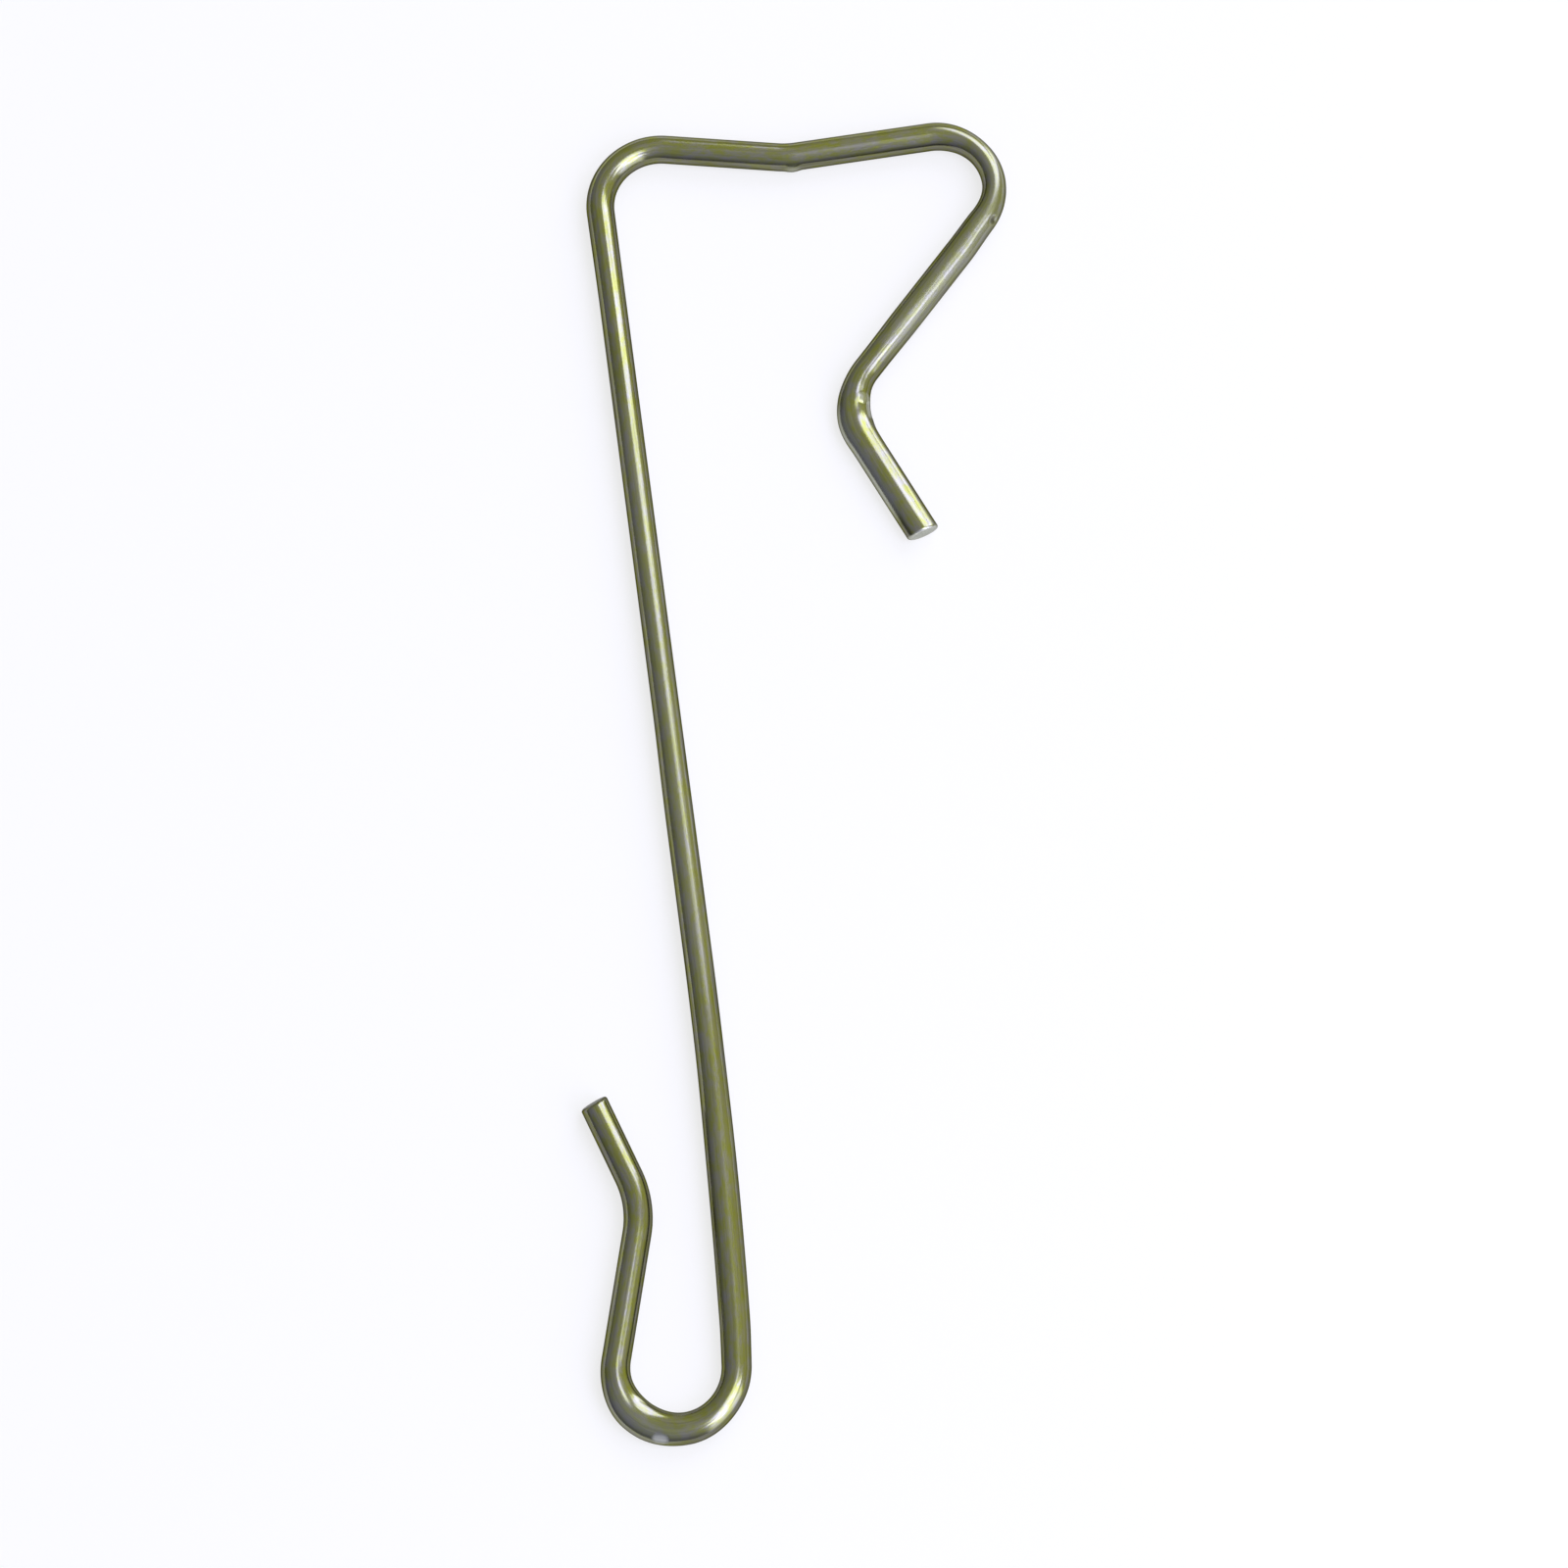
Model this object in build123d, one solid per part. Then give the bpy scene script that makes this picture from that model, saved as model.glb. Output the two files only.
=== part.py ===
from build123d import *
from math import cos, radians, sin
import os

os.makedirs("parts", exist_ok=True)

# Slate hook: a single length of round drawn wire, bent in one plane and laid flat.
# From its free tip the wire runs out to the elbow, up the spring arm, over the creased
# head bar, down the long shank, round the tail bowl and up the leg to the out-turned lip.
# The head clips over a roofing batten and the tail bowl carries the tail of a slate.

# ---- driving dimensions: millimetres and degrees, bend radii to the inside of the wire ----
wire_diameter = 2.7
hook_length = 120.0  # batten seat to slate seat, measured along the straight shank

# head
shoulder_radius = 4.5
shoulder_angle = 101.5
inner_bar_length = 10.7
crease_radius = 7.2
crease_angle = 13.0
outer_bar_length = 12.9
head_radius = 4.1
head_angle = 135.3
arm_length = 19.0
elbow_radius = 5.0
elbow_angle = 67.3
tip_length = 11.1

# tail
bow_radius = 630.0
bow_angle = 3.6
bowl_radius = 4.25
bowl_angle = 192.5
leg_length = 11.9
lip_radius = 8.2
lip_angle = 34.0
lip_length = 7.7

# cut ends: how far each cut face looks to one side and up, away from square
lip_cut_angle = 7.0
lip_lean_angle = 20.0
tip_cut_angle = 7.0
tip_lean_angle = 3.0
end_rounding = 0.25

# marks left by bending, each placed by its share of the way along its bend
nib_share = 0.75
nib_radius = 0.6
nib_height = 0.25
pin_mark_share = 0.56
pin_mark_length = 1.9
pin_mark_depth = 0.15
nick_share = 0.97
nick_radius = 0.5
nick_depth = 0.2
rub_share = 0.55
rub_length = 1.3
rub_depth = 0.1
mark_angle = 30.0  # how far round the wire, above its bending plane, the nick and the rub sit

wire_radius = wire_diameter / 2


def bend(before, inside_radius, angle):
    """Arc that carries on from the piece before it; a positive angle turns left."""
    return JernArc(before @ 1, before % 1, inside_radius + wire_radius, angle)


def run(before, length):
    """Straight length that carries on from the bend before it."""
    return PolarLine(before @ 1, length, direction=before % 1)


def to_left(piece, share, rise=0.0):
    """Direction square to the wire, to its left and raised out of the bending plane."""
    along = piece % share
    level = Vector(-along.Y, along.X, 0) * cos(radians(rise))
    return level + Vector(0, 0, sin(radians(rise)))


def flat_cutter(piece, share, rise, length, depth):
    """Block that presses a small flat into the left side of the wire."""
    out = to_left(piece, share, rise)
    face = (piece @ share) + out * (wire_radius - depth)
    block = Box(length, wire_diameter, wire_radius, align=(Align.CENTER, Align.CENTER, Align.MIN))
    return Plane(origin=face, x_dir=piece % share, z_dir=out) * block


def waste_beyond(piece, cut_angle, lean_angle):
    """Block past the end of a piece; the cut face it leaves looks to the left and leans up."""
    level = (piece % 1).rotate(Axis.Z, cut_angle)
    out = level * cos(radians(lean_angle)) + Vector(0, 0, sin(radians(lean_angle)))
    block = Cylinder(wire_diameter, 2 * wire_diameter, align=(Align.CENTER, Align.CENTER, Align.MIN))
    return Plane(origin=piece @ 1, z_dir=out) * block


# Head, drawn from the top of the straight shank at (0, 0) with the wire heading up.
shoulder = JernArc((0, 0), (0, 1), shoulder_radius + wire_radius, -shoulder_angle)
inner_bar = run(shoulder, inner_bar_length)
crease = bend(inner_bar, crease_radius, crease_angle)
outer_bar = run(crease, outer_bar_length)
head_bend = bend(outer_bar, head_radius, -head_angle)
arm = run(head_bend, arm_length)
elbow = bend(arm, elbow_radius, elbow_angle)
tip = run(elbow, tip_length)
tip_spare = run(tip, wire_diameter)

# Tail, drawn from the foot of the straight shank at (0, 0) with the wire heading down.
# The shank leaves it in a very slight bow, so the bowl stands a little to one side.
bow = JernArc((0, 0), (0, -1), bow_radius, -bow_angle)
bowl = bend(bow, bowl_radius, -bowl_angle)
leg = run(bowl, leg_length)
lip_bend = bend(leg, lip_radius, lip_angle)
lip = run(lip_bend, lip_length)
lip_spare = run(lip, wire_diameter)

# The batten bears on the underside of the crease and the slate on the inside of the bowl.
# The straight shank takes up whatever of the hook length the two ends leave.
batten_seat = crease.bounding_box().min.Y - wire_radius
slate_seat = bowl.bounding_box().min.Y + wire_radius
shank_length = hook_length - batten_seat + slate_seat
shank = Line((0, 0), (0, shank_length))

lift = Pos(0, shank_length, 0)
head = (shoulder, inner_bar, crease, outer_bar, head_bend, arm, elbow, tip, tip_spare)
head = [lift * piece for piece in head]
shoulder, inner_bar, crease, outer_bar, head_bend, arm, elbow, tip, tip_spare = head

# One round section follows the whole middle line.
center_line = Wire([lip_spare, lip, lip_bend, leg, bowl, bow, shank] + head)
hook = sweep(Plane(center_line ^ 0) * Circle(wire_radius), path=center_line)

# Both ends are sheared off a little out of square, and their rims are broken.
hook -= waste_beyond(lip, lip_cut_angle, lip_lean_angle)
hook -= waste_beyond(tip, -tip_cut_angle, tip_lean_angle)
for end in (lip @ 1, tip @ 1):
    hook = fillet(hook.faces().sort_by_distance(end)[0].edges(), end_rounding)

# Bending marks: the nib pinched up under the crease, the flat the bending pin left inside
# the elbow, a nick where the head bend runs into the arm, and a rub under the bowl.
nib_reach = wire_radius + nib_height - nib_radius
nib_center = (crease @ nib_share) - to_left(crease, nib_share) * nib_reach
hook += Pos(nib_center) * Sphere(nib_radius)
hook -= flat_cutter(elbow, pin_mark_share, 0, pin_mark_length, pin_mark_depth)
nick_reach = wire_radius + nick_radius - nick_depth
nick_center = (head_bend @ nick_share) + to_left(head_bend, nick_share, mark_angle) * nick_reach
hook -= Pos(nick_center) * Sphere(nick_radius)
hook -= flat_cutter(bowl, rub_share, mark_angle, rub_length, rub_depth)

# Origin: the middle of the space the hook takes up, on the surface it lies on.
space = hook.bounding_box()
hook = Pos(-space.center().X, -space.center().Y, -space.min.Z) * hook
hook.label = "slate_hook"
export_step(hook, "parts/slate_hook.step")
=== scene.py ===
# %% [markdown]
# # A slate hook in bent wire
# A slate hook is one length of hard drawn stainless wire, bent cold round steel pins. Its head
# clips over a roofing batten, and the bowl at the other end carries the tail of a slate.
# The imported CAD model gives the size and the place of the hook. This script sweeps the same
# wire again with a finer surface, so that light runs along it as it does along the real thing.

# %% Load the frame
from math import cos, pi, radians, sin, tan

import bpy
from mathutils import Matrix, Vector


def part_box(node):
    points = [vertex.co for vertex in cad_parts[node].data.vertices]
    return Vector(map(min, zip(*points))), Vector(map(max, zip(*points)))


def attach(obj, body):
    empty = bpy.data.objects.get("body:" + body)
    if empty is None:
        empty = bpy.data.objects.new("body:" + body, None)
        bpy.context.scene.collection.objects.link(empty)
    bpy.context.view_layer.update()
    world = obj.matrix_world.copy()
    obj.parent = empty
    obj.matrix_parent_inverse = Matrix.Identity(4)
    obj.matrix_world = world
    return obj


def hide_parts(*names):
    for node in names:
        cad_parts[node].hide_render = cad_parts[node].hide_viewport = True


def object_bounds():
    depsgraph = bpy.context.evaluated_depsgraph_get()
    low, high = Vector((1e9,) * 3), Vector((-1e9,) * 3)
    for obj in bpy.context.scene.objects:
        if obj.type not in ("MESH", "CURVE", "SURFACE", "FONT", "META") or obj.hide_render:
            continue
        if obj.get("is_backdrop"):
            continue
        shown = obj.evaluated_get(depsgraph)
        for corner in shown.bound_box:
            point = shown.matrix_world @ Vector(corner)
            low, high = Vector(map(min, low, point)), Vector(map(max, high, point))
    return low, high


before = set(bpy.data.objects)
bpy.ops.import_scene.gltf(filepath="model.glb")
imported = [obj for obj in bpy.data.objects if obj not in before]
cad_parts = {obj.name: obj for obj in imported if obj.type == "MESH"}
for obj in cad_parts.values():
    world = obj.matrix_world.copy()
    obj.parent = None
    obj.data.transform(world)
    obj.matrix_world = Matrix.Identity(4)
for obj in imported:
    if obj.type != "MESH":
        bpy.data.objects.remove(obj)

mm = 0.001
cad_low, cad_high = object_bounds()
hook_low, hook_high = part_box("slate_hook")
print("CAD box, mm:", [round(side / mm, 2) for side in hook_high - hook_low])

# %% [markdown]
# ## The bending list
# A wire bender works from a list: feed so much wire, then turn so many degrees round a pin.
# The hook is written down in the same way, from the free end of the lip to the free end of the
# head, so every stretch is either straight or an arc and nothing has to be drawn by eye.
# Radii are to the inside of the wire, as a pin gives them, and a positive angle turns left.
# The bow is too slight for a pin, so its radius is measured to the middle of the wire. Two
# sizes come from the frame: the wire's radius, and the straight shank, which takes up whatever
# length the two ends leave.

# %% Bending list
wire_radius = (hook_high.z - hook_low.z) / 2
bow_radius = 630 * mm - wire_radius

bends = {  # radius of the pin, angle
    "lip bend": (8.2 * mm, radians(-34)),
    "bowl": (4.25 * mm, radians(192.5)),
    "bow": (bow_radius, radians(3.6)),
    "shoulder": (4.5 * mm, radians(-101.5)),
    "crease": (7.2 * mm, radians(13)),
    "head bend": (4.1 * mm, radians(-135.3)),
    "elbow": (5.0 * mm, radians(67.3)),
}
feeds = {
    "lip": 7.7 * mm,
    "leg": 11.9 * mm,
    "inner bar": 10.7 * mm,
    "outer bar": 12.9 * mm,
    "arm": 19.0 * mm,
    "tip": 11.1 * mm,
}
order = (
    "lip", "lip bend", "leg", "bowl", "bow", "shank", "shoulder", "inner bar",
    "crease", "outer bar", "head bend", "arm", "elbow", "tip",
)


def stretch_length(name):
    """Length of a stretch along the middle of the wire."""
    if name in bends:
        pin_radius, angle = bends[name]
        return (pin_radius + wire_radius) * abs(angle)
    return feeds[name]


def stretch_angle(name):
    """How far a stretch turns to the left. A straight one doesn't turn."""
    return bends[name][1] if name in bends else 0.0


print("wire, mm:", round(2 * wire_radius / mm, 2), "in", len(order), "stretches")

# %% [markdown]
# ## Walking along the list
# `walk` follows the list and leaves a station every so often, where a ring of the wire's
# surface will stand. Along an arc the heading turns evenly, and the chord of one step points
# halfway between its two headings, so the stations lie on the true arc. Rings stand close
# together where the wire bends or carries a small mark, and further apart where it is straight.

# %% Walk
marked_bends = ("bowl", "crease", "head bend", "elbow")
long_stretches = ("bow", "shank")
marked_spacing = 0.09 * mm
bend_spacing = 0.12 * mm
straight_spacing = 0.24 * mm
long_spacing = 0.42 * mm


def spacing_of(name):
    """How far apart the stations stand on a stretch."""
    if name in marked_bends:
        return marked_spacing
    if name in long_stretches:
        return long_spacing
    return bend_spacing if name in bends else straight_spacing


def walk():
    """Stations along the list, with the straight shank running up +Y."""
    heading = pi / 2 - sum(stretch_angle(name) for name in order[:order.index("shank")])
    place = Vector((0, 0, 0))
    stations = [place.copy()]
    for name in order:
        length = stretch_length(name)
        steps = max(2, round(length / spacing_of(name)))
        turn = stretch_angle(name) / steps
        chord = length / steps
        if turn:
            chord *= sin(turn / 2) / (turn / 2)
        for step in range(steps):
            middle = heading + turn / 2
            place += chord * Vector((cos(middle), sin(middle), 0))
            heading += turn
            stations.append(place.copy())
    return stations


def reach(stations, axis):
    """Lowest and highest place of the wire's surface along one axis."""
    places = [station[axis] for station in stations]
    return min(places) - wire_radius, max(places) + wire_radius


feeds["shank"] = 0.0
low, high = reach(walk(), 1)
feeds["shank"] = (hook_high.y - hook_low.y) - (high - low)
stations = walk()
print("straight shank, mm:", round(feeds["shank"] / mm, 2), "with", len(stations), "stations")

# %% [markdown]
# ## Seating the line in the frame
# The stations are moved as a whole, so that the wire's reach along X and Y matches the CAD
# box and the wire lies on the floor. Nothing is scaled: the walk is already at real size.

# %% Seat the line
seat = Vector((0, 0, hook_low.z + wire_radius))
for axis, box_low, box_high in ((0, hook_low.x, hook_high.x), (1, hook_low.y, hook_high.y)):
    low, high = reach(stations, axis)
    seat[axis] = (box_low + box_high - low - high) / 2
stations = [station + seat for station in stations]
end_places = [[round(part / mm, 2) for part in stations[end]] for end in (0, -1)]
print("first and last station, mm:", end_places)

# %% [markdown]
# ## One helper for all node trees
# Geometry trees and materials are built in the same way: a kind of node, what goes into its
# sockets, and its settings. Values fill the first sockets in order, and `sockets` fills others
# by name or by number. A value that is itself a node is linked from that node's first output.

# %% Node helper
def add_node(tree, kind, *values, sockets=None, **settings):
    """Add a node to a tree, with its settings and with values or links in its sockets."""
    node = tree.nodes.new(kind)
    for name, setting in settings.items():
        setattr(node, name, setting)
    for place, value in [*enumerate(values), *(sockets or {}).items()]:
        if isinstance(value, bpy.types.Node):
            value = value.outputs[0]
        if isinstance(value, bpy.types.NodeSocket):
            tree.links.new(value, node.inputs[place])
        else:
            node.inputs[place].default_value = value
    return node


def new_geometry_tree(name, sizes):
    """An empty geometry tree with a geometry in, a geometry out and the named sizes."""
    tree = bpy.data.node_groups.new(name, "GeometryNodeTree")
    tree.interface.new_socket("Geometry", in_out="INPUT", socket_type="NodeSocketGeometry")
    for size_name, kind in sizes:
        tree.interface.new_socket(size_name, in_out="INPUT", socket_type="NodeSocket" + kind)
    tree.interface.new_socket("Geometry", in_out="OUTPUT", socket_type="NodeSocketGeometry")
    return tree


MATH = "ShaderNodeMath"
VECTOR_MATH = "ShaderNodeVectorMath"
print("tree helpers, for version", bpy.app.version_string)

# %% [markdown]
# ## A pressed mark
# Cold bending leaves small marks: a pin bruises the wire a little, the former of the crease
# pinches up a nib, and handling nicks it. Each one is a small dent or bump, and all of them
# follow one rule, so one group makes them all. The rule works on the wire as if it were pulled
# straight: how far a place is from the mark along the wire, and how far round it.

# %% Mark group
mark_tree = new_geometry_tree("pressed mark", [
    ("Straightened place", "Vector"), ("Outward", "Vector"), ("Wire radius", "Float"),
    ("Distance along", "Float"), ("Angle round", "Float"), ("Height", "Float"),
    ("Length", "Float"), ("Width", "Float"), ("Squareness", "Float"), ("Softness", "Float"),
])
mark_tree.interface.new_socket("Mark", in_out="OUTPUT", socket_type="NodeSocketFloat")


def fill_mark_tree(tree):
    """Push the surface out or in at the mark, and hand on how strong the mark is there."""
    given = add_node(tree, "NodeGroupInput").outputs
    place = add_node(tree, "ShaderNodeSeparateXYZ", given["Straightened place"]).outputs

    # How far round the wire a point lies from the mark, in half widths, squared.
    around = add_node(tree, MATH, place["Y"], place["X"], operation="ARCTAN2")
    off_angle = add_node(tree, MATH, around, given["Angle round"], operation="SUBTRACT")
    short_way = add_node(tree, MATH, off_angle, pi, -pi, operation="WRAP")
    off_side = add_node(tree, MATH, short_way, given["Wire radius"], operation="MULTIPLY")
    half_width = add_node(tree, MATH, given["Width"], 2.0, operation="DIVIDE")
    side_share = add_node(tree, MATH, off_side, half_width, operation="DIVIDE")
    side_fall = add_node(tree, MATH, side_share, side_share, operation="MULTIPLY")

    # How far along the wire, in half lengths, to the power of the squareness.
    off_length = add_node(tree, MATH, place["Z"], given["Distance along"], operation="SUBTRACT")
    half_length = add_node(tree, MATH, given["Length"], 2.0, operation="DIVIDE")
    length_share = add_node(tree, MATH, off_length, half_length, operation="DIVIDE")
    length_size = add_node(tree, MATH, length_share, operation="ABSOLUTE")
    length_fall = add_node(tree, MATH, length_size, given["Squareness"], operation="POWER")

    # The mark is 1 in its middle and 0 from its rim outwards.
    fall = add_node(tree, MATH, side_fall, length_fall, operation="ADD")
    left_over = add_node(tree, MATH, 1.0, fall, operation="SUBTRACT")
    inside = add_node(tree, MATH, left_over, 0.0, operation="MAXIMUM")
    mark = add_node(tree, MATH, inside, given["Softness"], operation="POWER")
    lift = add_node(tree, MATH, mark, given["Height"], operation="MULTIPLY")
    push = add_node(tree, VECTOR_MATH, given["Outward"], sockets={"Scale": lift}, operation="SCALE")
    moved = add_node(tree, "GeometryNodeSetPosition", given["Geometry"], sockets={"Offset": push})
    add_node(tree, "NodeGroupOutput", moved, mark)


fill_mark_tree(mark_tree)
print("mark group:", len(mark_tree.nodes), "nodes")

# %% [markdown]
# ## The marks on this hook
# Each mark is placed by its stretch and its share of the way along it, then by its angle round
# the wire in degrees, from the left side upwards. Its sizes are in millimetres.
# A negative height is a dent, and a rub that only changes the finish has none. A squareness of
# 2 gives a rounded mark, and a larger one a mark with blunt ends, as a tool leaves. With a
# softness above 1 the foot of a mark fades out, and below 1 its sides are steep. Wear rubs the
# film off the steel, and scrape cuts it fresh and rough. The last column darkens it: the nick
# and its dent are darker, and along the shank rub and the hand rub the darkening is painted
# shade, which dims the lights along them.

# %% Marks
marks = {
    "nib": {
        "on": "crease", "share": 0.75, "angle": 185, "height": 0.13, "length": 1.9, "width": 2.4,
        "squareness": 2.0, "softness": 2.0, "wear": 0.5, "scrape": 0.0, "dirt_and_shade": 0.0,
    },
    "pin mark": {
        "on": "elbow", "share": 0.45, "angle": 42, "height": 0.06, "length": 1.4, "width": 1.9,
        "squareness": 3.0, "softness": 1.0, "wear": 0.5, "scrape": 0.15, "dirt_and_shade": 0.0,
    },
    "pin rub": {
        "on": "elbow", "share": 0.63, "angle": 20, "height": -0.05, "length": 2.4, "width": 1.25,
        "squareness": 4.0, "softness": 0.6, "wear": 0.6, "scrape": 0.35, "dirt_and_shade": 0.0,
    },
    # The shank rub's darkening is painted shade, which dims the light along the lower shank.
    "shank rub and shade": {
        "on": "shank", "share": 0.33, "angle": 98, "height": 0.0, "length": 62.0, "width": 2.6,
        "squareness": 8.0, "softness": 0.7, "wear": 0.0, "scrape": 0.13, "dirt_and_shade": 0.16,
    },
    # The hand rub's darkening is painted shade, which dims the light along the arm.
    "hand rub and shade": {
        "on": "arm", "share": 0.22, "angle": 48, "height": 0.0, "length": 27.0, "width": 3.2,
        "squareness": 6.0, "softness": 0.7, "wear": 0.0, "scrape": 0.24, "dirt_and_shade": 0.3,
    },
    "jaw rub": {
        "on": "tip", "share": 0.26, "angle": 148, "height": -0.05, "length": 13.0, "width": 1.6,
        "squareness": 6.0, "softness": 1.0, "wear": 0.8, "scrape": 0.0, "dirt_and_shade": 0.0,
    },
    "nick": {
        "on": "head bend", "share": 0.98, "angle": 36, "height": -0.17, "length": 1.0, "width": 1.0,
        "squareness": 2.0, "softness": 1.0, "wear": 0.0, "scrape": 0.0, "dirt_and_shade": 0.6,
    },
    "rub": {
        "on": "bowl", "share": 0.45, "angle": 142, "height": -0.08, "length": 1.4, "width": 1.15,
        "squareness": 3.0, "softness": 1.0, "wear": 1.0, "scrape": 1.0, "dirt_and_shade": 0.0,
    },
    "slate rub": {
        "on": "bowl", "share": 0.33, "angle": 128, "height": 0.0, "length": 9.0, "width": 2.6,
        "squareness": 2.0, "softness": 0.7, "wear": 0.35, "scrape": 0.0, "dirt_and_shade": 0.0,
    },
}


def distance_along(name, share):
    """How far along the wire a place on a stretch is."""
    before = sum(stretch_length(earlier) for earlier in order[:order.index(name)])
    return before + share * stretch_length(name)


for name, mark in marks.items():
    from_lip = distance_along(mark["on"], mark["share"])
    print(name, "at", round(from_lip / mm, 1), "mm from the lip's end")

# %% [markdown]
# ## Where tools press the section out of round
# A round wire doesn't stay quite round where it is bent and held. Pressed between the faces of
# a tool it spreads in the plane of the hook and gets lower, and pulled round a former it thins.
# One more group does that, over a length of the wire with an ease at both ends. Widening moves
# each place away from the middle line, in the plane of the hook, by a share of its distance.
# A negative one thins the wire. Lowering drops each place by a share of its height, so that
# the underside stays on the floor. Sideways shifts the whole section to the left.

# %% Spread group
spread_tree = new_geometry_tree("spread section", [
    ("Straightened place", "Vector"), ("Leftward", "Vector"), ("Wire radius", "Float"),
    ("Distance along", "Float"), ("Length", "Float"), ("Ease", "Float"),
    ("Widening", "Float"), ("Lowering", "Float"), ("Sideways", "Float"),
])


def fill_spread_tree(tree):
    """Widen, lower and shift the section over the given length, and ease off at its ends."""
    given = add_node(tree, "NodeGroupInput").outputs
    place = add_node(tree, "ShaderNodeSeparateXYZ", given["Straightened place"]).outputs
    off_length = add_node(tree, MATH, place["Z"], given["Distance along"], operation="SUBTRACT")
    off_size = add_node(tree, MATH, off_length, operation="ABSOLUTE")
    half_length = add_node(tree, MATH, given["Length"], 2.0, operation="DIVIDE")
    outside = add_node(tree, MATH, half_length, given["Ease"], operation="ADD")
    share = add_node(tree, "ShaderNodeMapRange", interpolation_type="SMOOTHSTEP", sockets={
        "Value": off_size, "From Min": half_length, "From Max": outside,
        "To Min": 1.0, "To Max": 0.0,
    })
    full_step = add_node(
        tree, MATH, given["Widening"], place["X"], given["Sideways"], operation="MULTIPLY_ADD",
    )
    side_step = add_node(tree, MATH, share, full_step, operation="MULTIPLY")
    push = add_node(
        tree, VECTOR_MATH, given["Leftward"], sockets={"Scale": side_step}, operation="SCALE",
    )
    height = add_node(tree, MATH, place["Y"], given["Wire radius"], operation="ADD")
    lowered = add_node(tree, MATH, share, given["Lowering"], operation="MULTIPLY")
    drop = add_node(tree, MATH, lowered, height, operation="MULTIPLY")
    down = add_node(tree, VECTOR_MATH, (0, 0, -1), sockets={"Scale": drop}, operation="SCALE")
    step = add_node(tree, VECTOR_MATH, push, down, operation="ADD")
    moved = add_node(tree, "GeometryNodeSetPosition", given["Geometry"], sockets={"Offset": step})
    add_node(tree, "NodeGroupOutput", moved)


fill_spread_tree(spread_tree)
print("spread group:", len(spread_tree.nodes), "nodes")

# %% [markdown]
# ## The spread sections of this hook
# Each one is centred on a place on its stretch. Lengths, eases and shifts are in millimetres,
# and widening and lowering are shares. Where two overlap they add up, as in the bowl, which is
# pressed most. The tip is flattened from end to end, and the head bend is thinned by the pull
# round its former. Where a tool left the wire a little out of true, its section is shifted by
# not much more than a tenth of a millimetre.

# %% Spreads
spreads = {
    "bowl spread": {
        "on": "bowl", "share": 0.41, "length": 5.0, "ease": 5.5,
        "widening": 0.12, "lowering": 0.07, "sideways": -0.09,
    },
    "bowl peak": {
        "on": "bowl", "share": 0.33, "length": 1.0, "ease": 4.0,
        "widening": 0.12, "lowering": 0.07, "sideways": 0.0,
    },
    "bowl heel": {
        "on": "bowl", "share": 0.9, "length": 1.0, "ease": 5.5,
        "widening": 0.0, "lowering": 0.0, "sideways": 0.13,
    },
    "foot spread": {
        "on": "bow", "share": 0.3, "length": 10.0, "ease": 14.0,
        "widening": 0.06, "lowering": 0.03, "sideways": 0.0,
    },
    "shank draw": {
        "on": "shank", "share": 0.6, "length": 40.0, "ease": 12.0,
        "widening": -0.04, "lowering": 0.0, "sideways": -0.04,
    },
    "head bend draw": {
        "on": "head bend", "share": 0.55, "length": 3.0, "ease": 5.0,
        "widening": -0.15, "lowering": 0.0, "sideways": 0.0,
    },
    "head bend heel": {
        "on": "head bend", "share": 0.98, "length": 0.5, "ease": 4.0,
        "widening": 0.0, "lowering": 0.0, "sideways": -0.12,
    },
    "arm spread": {
        "on": "arm", "share": 0.45, "length": 8.0, "ease": 5.0,
        "widening": 0.05, "lowering": 0.02, "sideways": 0.0,
    },
    "elbow spread": {
        "on": "elbow", "share": 0.6, "length": 2.0, "ease": 3.0,
        "widening": 0.08, "lowering": 0.03, "sideways": 0.0,
    },
    "tip spread": {
        "on": "tip", "share": 0.55, "length": 16.0, "ease": 4.0,
        "widening": 0.16, "lowering": 0.12, "sideways": 0.0,
    },
}
widest = max(spreads, key=lambda name: spreads[name]["widening"])
print("spread sections:", len(spreads), "and the widest is the", widest)

# %% [markdown]
# ## Sweeping the wire
# On the real hook one round section runs through every bend. The tree does the same: the line
# becomes a curve, and Curve to Mesh sweeps a circle along it. The rings shrink over the last
# quarter of a millimetre, so that the rim of a cut end is rounded. What a point should know of
# the line is captured before the sweep: the middle of its ring, the wire's direction and
# length, how far along the wire it is, and how far into a rounded rim.

# %% Sweep
wire_tree = new_geometry_tree("swept wire", [
    ("Wire radius", "Float"), ("Segments", "Int"), ("End rounding", "Float"),
    ("Lip cut angle", "Float"), ("Lip lean angle", "Float"), ("Tip cut angle", "Float"),
    ("Tip lean angle", "Float"), ("Shear reach", "Float"), ("Lip darkening", "Float"),
    ("Finish", "Material"),
])


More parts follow.
